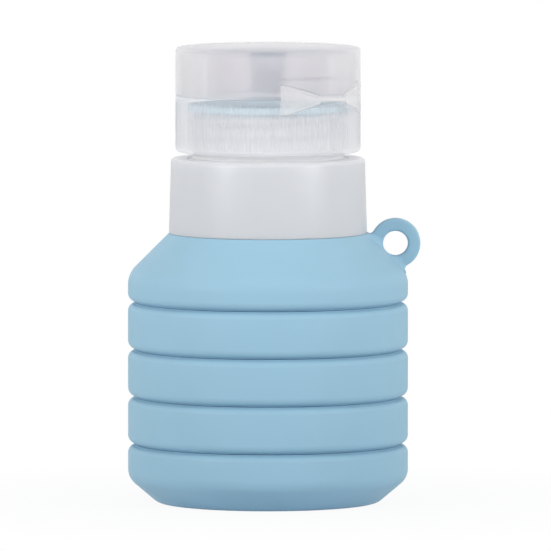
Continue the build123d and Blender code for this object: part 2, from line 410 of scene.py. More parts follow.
def frosted_finish(name, colour, veil, through, rough, dim=0, deck=None):
    """Frosted polypropylene: a veil that scatters light, of which part goes through, blurred.

    Inside, it takes dim of the light in each metre, red before blue, so that thick parts look darker.
    With a deck's colour, it is painted that colour above the parting line: painted light, standing in for the
    seal's bluish light through the deck.
    """
    finish = Finish(name)
    if dim:
        inside = wired(finish.tree, "VolumeAbsorption", Color=(0.8, 0.82, 0.85, 1), Density=dim)
        finish.tree.links.new(inside.outputs[0], finish.output.inputs["Volume"])
    finish.set(IOR=1.3, Alpha=veil, Transmission_Weight=through, Specular_IOR_Level=0.2)
    finish.set(Base_Color=(*shade(colour, 0.97), 1))
    flow = finish.noise(5 * MM, detail=4, stretch=3)
    finish.tinted(flow, shade(colour, 1.02))
    # Painted light: above the parting line the colour is drawn to the deck's colour, the seal's bluish light
    # through the deck.
    if deck:
        finish.tinted(finish.height(PARTING_Z - 0.02 * MM, PARTING_Z), deck)
    finish.roughened(2.5 * MM, rough, rough + 0.06)
    finish.bumped((flow, 0.004 * MM))
    return finish.material


def frost(*factors):
    """The frosted plastic's set colour, with each of red, green and blue times its factor."""
    return tuple(c * factor for c, factor in zip(plastic_settings().frosted_colour, factors))


def once(make):
    """Names a finish after its function, and makes it only on first use."""
    name = make.__name__ + "_finish"
    return lambda: bpy.data.materials.get(name) or make(name)


@once
def body_silicone(name):
    """Finish of the soft body."""
    return silicone_finish(name, silicone_settings().colour, grain=0.28 * MM)


@once
def seal_silicone(name):
    """Finish of the seal disc."""
    return silicone_finish(name, plastic_settings().seal_colour, grain=0.4 * MM)


@once
def collar_plastic(name):
    """Finish of the collar."""
    return collar_finish(name, plastic_settings().collar_colour)


@once
def cap_plastic(name):
    """Finish of the lid, a darker, warmer copy of the cap base's frosted colour on the same moulding: painted
    shade.
    """
    return frosted_finish(name, frost(0.935, 0.92, 0.95), veil=0.33, through=0.4, rough=0.36, dim=50)


@once
def base_plastic(name):
    """Finish of the cap base and its thread, a lighter, cooler copy of the lid's frosted colour on the same
    moulding: painted light. The deck above the parting line is painted the seal's bluish light.
    """
    # Painted light: a lighter, cooler copy of the moulding's colour, and a painted bluish deck for the seal's
    # light below.
    colour, deck = frost(0.985, 1.01, 1.045), (0.72, 0.85, 0.92)
    return frosted_finish(name, colour, veil=0.42, through=0.4, rough=0.34, dim=8, deck=deck)


@once
def hinge_plastic(name):
    """Finish of the hinge, whose thin plates are whitened by bending."""
    return frosted_finish(name, frost(1.03, 1.03, 1.03), veil=0.34, through=0.3, rough=0.3)


@once
def core_plastic(name):
    """Finish of the spout and the plug over it, frosted plastic painted a dark blue grey: painted shade with
    the bluish light of the silicone valve below.
    """
    # Painted shade and painted bluish light from the valve below make this colour, not the plastic's own.
    return frosted_finish(name, (0.47, 0.565, 0.65), veil=0.66, through=0.4, rough=0.34)


@once
def neck_plastic(name):
    """Finish of the neck insert and its thread."""
    return frosted_finish(name, (0.98, 0.985, 1.0), veil=0.85, through=0.2, rough=0.3)


def dress(piece, body, material, slot, *nodes):
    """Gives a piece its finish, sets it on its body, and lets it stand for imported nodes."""
    piece.data.materials.append(material)
    if nodes:
        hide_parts(*nodes)
    if body:
        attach(piece, body)
    return piece


# Soft body

# Base bevel, walls and neck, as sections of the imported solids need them
FLOOR_T = 2.6 * MM
FOOT_R = 20.5 * MM
BEVEL_H = 4.65 * MM
BEVEL_FOOT_ROUND = 2.5 * MM
BEVEL_SIDE_ROUND = 3.4 * MM
INSIDE_ROUND = 3.0 * MM
INSIDE_EDGE_ROUND = 0.3 * MM
SHOULDER_SIDE_H = 5.0 * MM
SHOULDER_ROUND = 4.6 * MM
LEDGE_T = 2.0 * MM
CONE_WALL_T = 3.4 * MM
CONE_INSIDE_ROUND = 2.0 * MM
NECK_R = 15.4 * MM
NECK_BORE_R = 13.0 * MM
NECK_BEAD_R = 16.4 * MM
NECK_BEAD_H = 3.2 * MM
NECK_BEAD_SLOPE = 0.8 * MM
NECK_ROUND = 0.3 * MM


def tier_section(foot_z, top_z, foot_round, top_round):
    """Section of a plain tier: a wall with its outer edges rounded."""
    return outline([
        (INNER_R, foot_z, INSIDE_EDGE_ROUND),
        (BODY_R, foot_z, foot_round),
        (BODY_R, top_z, top_round),
        (INNER_R, top_z, INSIDE_EDGE_ROUND),
    ], steps=10)


class BOTTLE_OT_tiers(bpy.types.Operator):
    """Build the base cup and the bands"""

    bl_idname = "bottle.tiers"
    bl_label = "Base and bands"

    def execute(self, context):
        """The base is a cup with a bevelled foot, and each band a plain tier."""
        s = silicone_settings()
        base_top = node_high("base_cup")[2]
        base = turned("base_tier", outline([
            (0, 0, 0),
            (FOOT_R, 0, BEVEL_FOOT_ROUND),
            (BODY_R, BEVEL_H, BEVEL_SIDE_ROUND),
            (BODY_R, base_top, s.top_round),
            (INNER_R, base_top, INSIDE_EDGE_ROUND),
            (INNER_R, BEVEL_H + FLOOR_T / 2, INSIDE_ROUND),
            (FOOT_R - FLOOR_T / 2, FLOOR_T, INSIDE_ROUND),
            (0, FLOOR_T, 0),
        ], steps=10), steps=ROUND_STEPS)
        dress(base, "base", body_silicone(), "body_silicone", "base_cup")
        for name in TIER_BODIES[1:-1]:
            section = tier_section(node_low(name)[2], node_high(name)[2], s.foot_round, s.top_round)
            tier = turned(name + "_tier", section, steps=ROUND_STEPS)
            dress(tier, name, body_silicone(), "body_silicone", name)
        return {"FINISHED"}


class BOTTLE_OT_folds(bpy.types.Operator):
    """Build the folds between the tiers"""

    bl_idname = "bottle.folds"
    bl_label = "Folds"

    # How deep a fold's slit is, how far the fold stands in past the tier's inner wall, its web, how far
    # it goes into the tiers, and how far its lips go in behind the tiers' rounded edges
    slit_depth = 0.5 * MM
    rim_depth = 3.4 * MM
    web_t = 0.8 * MM
    hold = 0.15 * MM
    tuck = 0.02 * MM

    def section(self, low, high):
        """Section of a fold: two webs whose slit narrows towards the rim.

        The slit's sides are set so that the smooth step of their place up the slit runs evenly along them.
        With q from 0 at the mouth to 1 at the rim, that smooth step is q / 2, its place up the slit is
        1/2 - sin(asin(1 - q) / 3), and the radius falls from mouth to rim with q squared.
        """
        gap = high - low
        q = np.linspace(0, 1, 17)
        up = 0.5 - np.sin(np.arcsin(1 - q) / 3)
        mouth_r = BODY_R - silicone_settings().top_round
        radius = mouth_r - self.slit_depth * q**2
        lower = np.stack([radius, low + up * gap], axis=1)
        upper = np.stack([radius, high - up * gap], axis=1)[::-1][1:]
        outer_r = INNER_R + self.hold
        rim_r = INNER_R - self.rim_depth - self.web_t
        back_z = np.linspace(high, low, 9)[1:-1]
        back = np.stack([np.full_like(back_z, rim_r), back_z], axis=1)
        return np.vstack([
            [(outer_r, low - self.web_t), (outer_r, low - self.tuck), (mouth_r, low - self.tuck)],
            lower,
            upper,
            [(mouth_r, high + self.tuck), (outer_r, high + self.tuck), (outer_r, high + self.web_t)],
            [(rim_r + self.web_t / 3, high + self.web_t), (rim_r, high + self.web_t / 2), (rim_r, high)],
            back,
            [(rim_r, low), (rim_r, low - self.web_t / 2), (rim_r + self.web_t / 3, low - self.web_t)],
        ])

    def execute(self, context):
        for number in range(1, FOLD_COUNT + 1):
            node = f"fold_{number}"
            low = node_low(node)[2] + self.web_t
            high = node_high(node)[2] - self.web_t
            piece = turned(node + "_web", self.section(low, high), steps=192, sharp=60)
            dress(piece, None, body_silicone(), "body_silicone", node)
            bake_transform(piece)
        return {"FINISHED"}


class BOTTLE_OT_shoulder(bpy.types.Operator):
    """Build the shoulder with its soft neck, and the hang loop"""

    bl_idname = "bottle.shoulder"
    bl_label = "Shoulder and loop"

    # The eye's middle stands this far off the cone, on a foot that flares and goes into the shoulder.
    # The foot is a share of the width between the webs' centres, and flare_end is the flare's depth,
    # counted in flares, at which it stops bending back.
    loop_off = 2.42 * MM
    loop_web_round = 0.9 * MM
    loop_sink = 0.7 * MM
    foot_share = 0.92
    flare = 1.1 * MM
    flare_end = 1.4

    def shoulder(self):
        """The top tier, cone and neck as one solid of revolution."""
        s = silicone_settings()
        foot_z, top_z = node_low("shoulder")[2], node_high("shoulder")[2]
        cone_foot_z = foot_z + SHOULDER_SIDE_H
        slope = (BODY_R - COLLAR_FOOT_R) / (LEDGE_Z - cone_foot_z)
        bore_z = LEDGE_Z - LEDGE_T
        bore_r = COLLAR_FOOT_R + LEDGE_T * slope - CONE_WALL_T
        bead_z = top_z - NECK_BEAD_H
        return turned("shoulder_shell", outline([
            (INNER_R, foot_z, INSIDE_EDGE_ROUND),
            (BODY_R, foot_z, s.foot_round),
            (BODY_R, cone_foot_z, SHOULDER_ROUND),
            (COLLAR_FOOT_R, LEDGE_Z, NECK_ROUND),
            (NECK_R, LEDGE_Z, NECK_ROUND),
            (NECK_R, bead_z - NECK_BEAD_SLOPE, 0),
            (NECK_BEAD_R, bead_z, NECK_ROUND),
            (NECK_BEAD_R, top_z, NECK_ROUND),
            (NECK_BORE_R, top_z, NECK_ROUND),
            (NECK_BORE_R, bore_z, CONE_INSIDE_ROUND),
            (bore_r, bore_z, CONE_INSIDE_ROUND),
            (INNER_R, bore_z - (INNER_R - bore_r) / slope, CONE_INSIDE_ROUND),
        ], steps=12), steps=ROUND_STEPS)

    def loop(self):
        """The hang loop: an eye on a foot that sinks into the cone.

        Seen from the front its outline is the eye's circle, joined to the cone's line by an arc on
        each side. Each arc touches circle and line, so its centre is the two radii from the eye's
        middle and one radius off the line. The solid runs from the hole to that outline, its edges
        rounded by quarter circles. Near the foot its half thickness grows along a quarter circle, and
        the flare bends back with the cone by its width squared over twice the cone's radius.
        """
        s = silicone_settings()
        foot_z = node_low("shoulder")[2] + SHOULDER_SIDE_H
        down = np.array([BODY_R - COLLAR_FOOT_R, foot_z - LEDGE_Z])
        down /= np.linalg.norm(down)
        out = np.array([-down[1], down[0]])
        place = mount_place("loop_eye")
        eye_r = node_high("hang_loop")[0] - place[0]
        eye = np.array([place[0], place[2]])
        web = self.loop_web_round
        aside = math.sqrt((eye_r + web) ** 2 - (self.loop_off - web) ** 2)
        start = math.atan2(-(self.loop_off - web), aside)
        ring = np.linspace(start, math.pi - start, 120)
        outer = np.stack([eye_r * np.cos(ring), eye_r * np.sin(ring)], axis=1)
        bend = np.linspace(math.pi + start, 1.5 * math.pi, 14)[1:]
        right_web = np.stack([aside + web * np.cos(bend), web - self.loop_off + web * np.sin(bend)], axis=1)
        left_web = right_web * [-1, 1]
        foot = np.linspace(1, -1, 40)[1:-1, None] * [aside * self.foot_share, 0]
        foot = foot - [0, self.loop_off + self.loop_sink]
        rim = np.vstack([outer, left_web, foot[::-1], right_web[::-1]])
        turn = np.unwrap(np.arctan2(rim[:, 1], rim[:, 0]))
        hole = s.loop_hole * np.stack([np.cos(turn), np.sin(turn)], axis=1)
        half = (node_high("hang_loop")[1] - node_low("hang_loop")[1]) / 2
        r = min(s.loop_round, half)
        quarter = np.linspace(0, math.pi / 2, 8)
        inset = r * (1 - np.cos(quarter))
        level = half - r * (1 - np.sin(quarter))
        width = np.linalg.norm(rim - hole, axis=1)[:, None]
        ways = (rim - hole) / width
        rise, fall = list(zip(inset, level)), list(zip(inset[::-1], level[::-1]))
        rows = [(hole + ways * gap, y) for gap, y in rise]
        rows += [(rim - ways * gap, y) for gap, y in fall]
        rows += [(rim - ways * gap, -y) for gap, y in rise]
        rows += [(hole + ways * gap, -y) for gap, y in fall]
        columns = []
        for flat, y in rows:
            near = np.clip(1 - (flat[:, 1] + self.loop_off) / self.flare, 0, self.flare_end)
            wide = self.flare * (1 - np.sqrt(1 - np.minimum(near, 1) ** 2))
            wide = y + y / half * wide
            back = smooth(near) * wide**2 / (2 * eye[0])
            x = eye[0] + flat[:, 0] * down[0] + flat[:, 1] * out[0] - back * out[0]
            z = eye[1] + flat[:, 0] * down[1] + flat[:, 1] * out[1] - back * out[1]
            columns.append(np.stack([x, wide, z], axis=1))
        return surface("hang_eye", np.stack(columns, axis=1), sharp=50)

    def execute(self, context):
        dress(self.shoulder(), "neck", body_silicone(), "body_silicone", "shoulder")
        dress(self.loop(), "neck", body_silicone(), "body_silicone", "hang_loop")
        return {"FINISHED"}


# Collar and neck

COLLAR_TOP_R = 18.0 * MM
COLLAR_TOP_ROUND = 0.7 * MM
COLLAR_EDGE_ROUND = 0.25 * MM
COLLAR_SNAP_H = 1.1 * MM
COLLAR_BORE_R = 16.5 * MM
SHANK_R = 14.76 * MM
FIT = 0.1 * MM
MOUTH_R = 13.9 * MM
MOUTH_BORE_R = 11.4 * MM
FLANGE_T = 1.2 * MM
BARB_R = 12.95 * MM
BARB_DEPTH = 0.6 * MM
BARB_COUNT = 3

# Threads: columns in a turn, ends in a turn, the ends' share of the full width, and the root's sinking
THREAD_STEPS = 96
THREAD_ENDS = 8
THREAD_TIP = 0.2
THREAD_SINK = 0.05 * MM
THREAD_OUT = 0.8 * MM


class BOTTLE_OT_collar(bpy.types.Operator):
    """Build the white collar"""

    bl_idname = "bottle.collar"
    bl_label = "Collar"

    def execute(self, context):
        """A tapered wall over the soft neck, with a lip above the flange and a bead that snaps below."""
        lip_z = node_high("shoulder")[2] + FLANGE_T
        piece = turned("collar_ring", outline([
            (NECK_R + FIT, LEDGE_Z, COLLAR_EDGE_ROUND),
            (COLLAR_FOOT_R, LEDGE_Z, COLLAR_EDGE_ROUND),
            (COLLAR_TOP_R, COLLAR_TOP_Z, COLLAR_TOP_ROUND),
            (SHANK_R + FIT, COLLAR_TOP_Z, COLLAR_EDGE_ROUND),
            (SHANK_R + FIT, lip_z, 0),
            (COLLAR_BORE_R, lip_z, COLLAR_EDGE_ROUND),
            (COLLAR_BORE_R, LEDGE_Z + 2 * COLLAR_SNAP_H, 0),
            (NECK_R + FIT, LEDGE_Z + COLLAR_SNAP_H, 0),
        ]), steps=ROUND_STEPS)
        dress(piece, "neck", collar_plastic(), "collar_plastic", "collar")
        return {"FINISHED"}


def thread(name, root_r, crest_r, low_z, root_w, crest_w):
    """A screw thread: a four-cornered section carried along a helix that rises one pitch a turn.

    Its height above the root grows from nothing, and its width from a fifth, over an eighth of a turn
    at each end.
    """
    turns, pitch = plastic_settings().thread_turns, plastic_settings().thread_pitch
    along = np.linspace(0, turns, int(THREAD_STEPS * turns))
    rise = smooth(along * THREAD_ENDS) * smooth((turns - along) * THREAD_ENDS)
    angle = along[:, None] * TAU
    middle = low_z + along[:, None] * pitch
    radii = np.array([root_r, crest_r, crest_r, root_r])
    places = np.array([-root_w, -crest_w, crest_w, root_w]) / 2
    radius = root_r + (radii - root_r)[None] * rise[:, None]
    height = middle + places[None] * (THREAD_TIP + (1 - THREAD_TIP) * rise[:, None])
    points = np.stack([radius * np.cos(angle), radius * np.sin(angle), height], axis=-1)
    return surface(name, closed_ends(points), around=False, sharp=30)


class BOTTLE_OT_neck(bpy.types.Operator):
    """Build the neck insert and the thread on its mouth"""

    bl_idname = "bottle.neck"
    bl_label = "Neck insert"

    mouth_round = 0.35 * MM
    shank_round = 0.1 * MM
    thread_base_w = 1.5 * MM
    thread_crest_w = 0.6 * MM
    thread_foot = 1.7 * MM

    def execute(self, context):
        """A tube with barbs below, a flange, and a shank that ends at the collar's top."""
        neck_top = node_high("shoulder")[2]
        flange_top = neck_top + FLANGE_T
        barb_h = (neck_top - INSERT_FOOT_Z) / BARB_COUNT
        corners = []
        for number in range(BARB_COUNT):
            z = INSERT_FOOT_Z + number * barb_h
            corners.append((BARB_R - BARB_DEPTH, z, 0))
            corners.append((BARB_R, z + barb_h - BARB_DEPTH, 0))
            corners.append((BARB_R, z + barb_h, 0))
        corners += [
            (FLANGE_R, neck_top, 0),
            (FLANGE_R, flange_top, 0),
            (SHANK_R, flange_top, 0),
            (SHANK_R, COLLAR_TOP_Z, self.shank_round),
            (MOUTH_R, COLLAR_TOP_Z, self.mouth_round),
            (MOUTH_R, MOUTH_Z, self.mouth_round),
            (MOUTH_BORE_R, MOUTH_Z, self.mouth_round),
            (MOUTH_BORE_R, INSERT_FOOT_Z, self.mouth_round),
        ]
        dress(turned("neck_tube", outline(corners)), "neck", neck_plastic(), "neck_plastic", "neck_insert")
        piece = thread(
            "neck_thread", MOUTH_R - THREAD_SINK, MOUTH_R + THREAD_OUT,
            SKIRT_Z + self.thread_foot, self.thread_base_w, self.thread_crest_w,
        )
        dress(piece, "neck", neck_plastic(), "neck_plastic")
        return {"FINISHED"}


class BOTTLE_OT_seal(bpy.types.Operator):
    """Build the seal disc and its slit valve"""

    bl_idname = "bottle.seal"
    bl_label = "Seal disc"

    valve_r = 4.5 * MM
    valve_t = 0.5 * MM
    disc_t = 1.2 * MM
    edge_round = 0.2 * MM
    slit_half = 2.5 * MM
    slit_w = 0.1 * MM
    slit_depth = 0.25 * MM

    def execute(self, context):
        """A disc turned round the axis, with a cross of two slits pressed into the valve's top.

        A slit's depth falls off as a bell curve of the distance from its line, and ends at slit_half.
        """
        dome_r = self.valve_r - self.valve_t
        top_z = MOUTH_Z + self.disc_t
        dome_z = MOUTH_Z + VALVE_Z - node_low("seal_disc")[2] - self.disc_t
        crown = np.linspace(0, 1, 40)[:, None]
        crown = np.hstack([crown * (dome_r - self.edge_round), np.full_like(crown, VALVE_Z)])
        section = np.vstack([crown, outline([
            (dome_r - self.edge_round, VALVE_Z, 0),
            (self.valve_r, VALVE_Z, self.valve_t),
            (self.valve_r, top_z, self.edge_round),
            (DISC_R, top_z, self.edge_round),
            (DISC_R, MOUTH_Z, self.edge_round),
            (dome_r, MOUTH_Z, self.edge_round),
            (dome_r, dome_z, self.valve_t),
            (0, dome_z, 0),
        ], closed=False)[1:]])
        angle = np.linspace(0, TAU, 288, endpoint=False)
        points = swept_columns(angle, section)
        x, y = np.abs(points[..., 0]), np.abs(points[..., 1])
        near, far = np.minimum(x, y), np.maximum(x, y)
        slit = np.exp(-((near / self.slit_w) ** 2)) * (far < self.slit_half)
        points[..., 2] -= self.slit_depth * slit * (points[..., 2] > VALVE_Z - self.slit_w)
        dress(surface("valve_disc", points), "seal", seal_silicone(), "seal_silicone", "seal_disc")
        return {"FINISHED"}


# Cap

SKIRT_BORE_R = 14.95 * MM
DECK_ROOF_T = 1.2 * MM
DECK_STEP_R = 9.3 * MM
DECK_STEP_H = 0.8 * MM
VALVE_ROOM_R = 5.0 * MM
SPOUT_R = 3.3 * MM
SPOUT_DRAFT = 0.25 * MM
SPOUT_HOLE_R = 1.6 * MM
DISC_TOP_Z = PARTING_Z - 1.6 * MM
PARTING_ROUND = 0.16 * MM
# A quarter arc's middle stands this share of its radius off both sides
ARC_SHARE = 0.3

# Hinge plates, u measured along the hinge line from its middle
PLATE_END_U = 9.85 * MM
PLATE_END_HALF = 2.8 * MM
PLATE_APEX_U = 3.2 * MM
PLATE_APEX_HALF = 0.75 * MM
PLATE_IN = 0.53 * MM
PLATE_OUT = 0.45 * MM
ROLL_R = 0.45 * MM
POCKET_R = CAP_R - 1.48 * MM
POCKET_ROOM = 0.25 * MM

# Thumb scoop
THUMB_R = 40.0 * MM
THUMB_DEPTH = 1.2 * MM
THUMB_H = 2.4 * MM


def from_hinge(angle):
    """Turn from the hinge, from minus half a turn to half a turn."""
    return (angle - HINGE_TURN + math.pi) % TAU - math.pi


def plate_half(u, room=0.0):
    """Half height of a hinge plate at u: it grows evenly from the apex to the end."""
    share = (np.abs(u) - PLATE_APEX_U) / (PLATE_END_U - PLATE_APEX_U)
    return PLATE_APEX_HALF + np.clip(share, 0, 1) * (PLATE_END_HALF - PLATE_APEX_HALF) + room


def cap_turns(steps):
    """Turns of the cap's columns: even ones, and pairs that stand close at each side of a pocket."""
    even = np.linspace(0, TAU, steps, endpoint=False)
    end = math.asin((PLATE_END_U + POCKET_ROOM) / CAP_R)
    apex = math.asin((PLATE_APEX_U - POCKET_ROOM) / CAP_R)
    # Half the turn between the two of a pair, in radians
    beside = 0.0006
    edges = [HINGE_TURN + way * side for way in (-1, 1) for side in (end, apex)]
    sides = [edge + nudge for edge in edges for nudge in (-beside, beside)]
    both = np.sort(np.concatenate([even, np.mod(sides, TAU)]))
    gaps = np.diff(both, append=both[0] + TAU)
    return both[gaps > beside / 2]


def pocket_at(angle):
    """Where the wall is cut beside the parting line: (height of the cut, radius of its floor).

    Round the hinge it is the plates' shape with room, and the roll's groove between them. Elsewhere
    the height is 0, and the floor is the inner end of the wall's rounded edge.
    """
    away = from_hinge(angle)
    u = CAP_R * np.sin(away)
    near = np.abs(away) < TAU / 4
    plates = near & (np.abs(u) < PLATE_END_U + POCKET_ROOM) & (np.abs(u) >= PLATE_APEX_U - POCKET_ROOM)
    groove = near & (np.abs(u) < PLATE_APEX_U - POCKET_ROOM)
    height = np.where(plates, plate_half(u, POCKET_ROOM), 0)
    height = np.where(groove, ROLL_R + 2 * PARTING_ROUND, height)
    floor = np.where(plates, POCKET_R, CAP_R - PARTING_ROUND)
    floor = np.where(groove, np.hypot(CAP_R - ROLL_R - PARTING_ROUND, u), floor)
    return height, floor


def thumb_at(angle):
    """The thumb scoop as (height, floor): a wide circle that bites into the wall, with a curved sill."""
    away = (angle - HINGE_TURN) % TAU - math.pi
    far = CAP_R + THUMB_R - THUMB_DEPTH
    reach = math.acos((CAP_R**2 + far**2 - THUMB_R**2) / (2 * CAP_R * far))
    inside = np.abs(away) < reach
    bite = far * np.cos(away) - np.sqrt(np.maximum(THUMB_R**2 - (far * np.sin(away)) ** 2, 0))
    height = np.where(inside, THUMB_H * (1 - np.clip(np.abs(away) / reach, 0, 1) ** 4), 0)
    return height, np.where(inside, np.minimum(bite, CAP_R - PARTING_ROUND), CAP_R - PARTING_ROUND)


def parting_edge(height, floor, way):
    """Rows of a wall's rounded edge, from outside in to the cut's floor and on to the parting line.

    The edge stands at the cut's height from the parting line, upwards for a way of 1, the lid's, and
    downwards for -1, the cap base's.
    """
    cut_z = PARTING_Z + way * height
    bite = ARC_SHARE * PARTING_ROUND
    return [
        (CAP_R, cut_z + way * PARTING_ROUND),
        (CAP_R - bite, cut_z + way * bite),
        (CAP_R - PARTING_ROUND, cut_z),
        (floor, cut_z),
        (floor, PARTING_Z),
    ]


class BOTTLE_OT_cap(bpy.types.Operator):
    """Build the cap base with its grip ribs, deck and spout, and the thread inside it"""

    bl_idname = "bottle.cap"
    bl_label = "Cap base"

    foot_round = 0.85 * MM
    inner_round = 0.2 * MM
    rim_h = 0.95 * MM
    fade = 0.18 * MM
    steps_per_rib = 6
    crown_share = 1.25
    thread_base_w = 1.3 * MM
    thread_crest_w = 0.5 * MM

    def ribs(self, angle):
        """Radius of the ribbed wall: each rib is a raised cosine with a flattened crown."""
        s = plastic_settings()
        wave = 0.5 + 0.5 * np.cos(angle * s.rib_count)
        return CAP_R - s.rib_out + s.rib_out * smooth(wave * self.crown_share)

    def execute(self, context):
        """Rows that run up the ribbed skirt, over the parting edge and the deck, and down the bore.

        A pocket or the thumb scoop moves the parting edge down and in, at the columns where it is.
        """
        s = plastic_settings()
        angle = cap_turns(s.rib_count * self.steps_per_rib)
        hinge_h, hinge_floor = pocket_at(angle)
        thumb_h, thumb_floor = thumb_at(angle)
        cut_h = np.maximum(hinge_h, thumb_h)
        floor = np.minimum(hinge_floor, thumb_floor)
        ribbed = self.ribs(angle)
        foot = outline([
            (SKIRT_BORE_R, SKIRT_Z + self.rim_h, 0),
            (SKIRT_BORE_R, SKIRT_Z, self.inner_round),
            (CAP_R, SKIRT_Z, self.foot_round),
            (CAP_R, SKIRT_Z + self.rim_h, 0),
        ], closed=False)
        rib_low = SKIRT_Z + self.rim_h + self.fade
        rib_high = PARTING_Z - np.maximum(self.rim_h, cut_h)
        deck_top = PARTING_Z + DECK_STEP_H
        deck = outline([
            (SKIRT_BORE_R, PARTING_Z, 0),
            (DECK_STEP_R, PARTING_Z, self.inner_round),
            (DECK_STEP_R, deck_top, self.inner_round),
            (SPOUT_HOLE_R, deck_top, 0),
            (SPOUT_HOLE_R, deck_top - DECK_ROOF_T, 0),
            (VALVE_ROOM_R, deck_top - DECK_ROOF_T, self.inner_round),
            (VALVE_ROOM_R, DISC_TOP_Z, self.inner_round),
            (SKIRT_BORE_R, DISC_TOP_Z, self.inner_round),
            (SKIRT_BORE_R, SKIRT_Z + self.rim_h, 0),
        ], closed=False, steps=4)[:-1]
        rows = [
            *foot,
            (ribbed, rib_low),
            (ribbed, rib_high - self.fade),
            (CAP_R, rib_high),
            *parting_edge(cut_h, floor, -1),
            *deck,
        ]
        points = swept_columns(angle, rows)
        dress(surface("ribbed_cap", points, sharp=45), "cap", base_plastic(), "cap_plastic", "cap_base")
        piece = thread(
            "cap_thread", SKIRT_BORE_R + THREAD_SINK, SKIRT_BORE_R - THREAD_OUT,
            SKIRT_Z + s.thread_pitch / 2, self.thread_base_w, self.thread_crest_w,
        )
        dress(piece, "cap", base_plastic(), "cap_plastic")
        spout = turned("cap_spout", outline([
            (SPOUT_HOLE_R, deck_top, 0),
            (SPOUT_R, deck_top, 0),
            (SPOUT_R - SPOUT_DRAFT, SPOUT_Z, self.inner_round),
            (SPOUT_HOLE_R, SPOUT_Z, self.inner_round),
        ]), steps=96)
        dress(spout, "cap", core_plastic(), "cap_plastic")
        return {"FINISHED"}


class BOTTLE_OT_lid(bpy.types.Operator):
    """Build the flip lid with its sealing ring and plug"""

    bl_idname = "bottle.lid"
    bl_label = "Flip lid"

    steps = 576
    wall_t = 1.1 * MM
    top_t = 1.3 * MM
    top_round = 0.7 * MM
    inside_round = 0.5 * MM
    small_round = 0.15 * MM
    boss_r = 15.2 * MM
    boss_h = 3.5 * MM
    boss_fade = 0.35 * MM
    ring_t = 1.9 * MM
    plug_r = 3.4 * MM
    pin_r = 1.45 * MM
    pin_tip_r = 1.25 * MM
    pin_l = 0.8 * MM

    def execute(self, context):
        """Rows that run from the roof's middle down the wall, over the parting edge and back inside.

        The hinge's pocket moves the parting edge up and in, at the columns where it is.
        """
        angle = cap_turns(self.steps)
        cut_h, floor = pocket_at(angle)
        away = from_hinge(angle)
        # A boss inside the wall closes the pocket behind the plates
        behind = np.abs(CAP_R * np.sin(away)) - PLATE_END_U - 3 * POCKET_ROOM
        boss = 1 - smooth(behind / (2 * self.boss_fade))
        boss = np.where(np.abs(away) < TAU / 4, boss, 0)
        bore_r = CAP_R - self.wall_t
        bore = bore_r + (self.boss_r - bore_r) * boss
        roof_z = LID_Z - self.top_t
        ring_r = DECK_STEP_R + FIT
        top = outline([
            (0, LID_Z, 0),
            (CAP_R, LID_Z, self.top_round),
            (CAP_R, LID_Z - 2 * self.top_round, 0),
        ], closed=False, steps=10)
        inside = outline([
            (bore_r, PARTING_Z + self.boss_h + 2 * self.boss_fade, 0),
            (bore_r, roof_z, self.inside_round),
            (ring_r + self.ring_t, roof_z, self.inside_round),
            (ring_r + self.ring_t, PARTING_Z + 2 * FIT, self.small_round),
            (ring_r, PARTING_Z + 2 * FIT, self.small_round),
            (ring_r, roof_z, self.inside_round),
            (0, roof_z, 0),
        ], closed=False, steps=5)
        rows = [
            *top,
            *parting_edge(cut_h, floor, 1),
            (bore, PARTING_Z),
            (bore, PARTING_Z + self.boss_h),
            *inside,
        ]
        points = swept_columns(angle, rows)
        dress(surface("lid_shell", points, sharp=45), "lid", cap_plastic(), "cap_plastic", "flip_lid")
        dress(self.plug(roof_z), "lid", core_plastic(), "cap_plastic")
        return {"FINISHED"}

    def plug(self, roof_z):
        """The solid plug with its pin."""
        plug_z = SPOUT_Z + FIT
        return turned("lid_plug", outline([
            (0, roof_z + FIT, 0),
            (self.plug_r, roof_z + FIT, 0),
            (self.plug_r, plug_z, self.small_round),
            (self.pin_r, plug_z, self.small_round),
            (self.pin_tip_r, SPOUT_Z - self.pin_l, self.small_round),
            (0, SPOUT_Z - self.pin_l, 0),
        ]), steps=96)


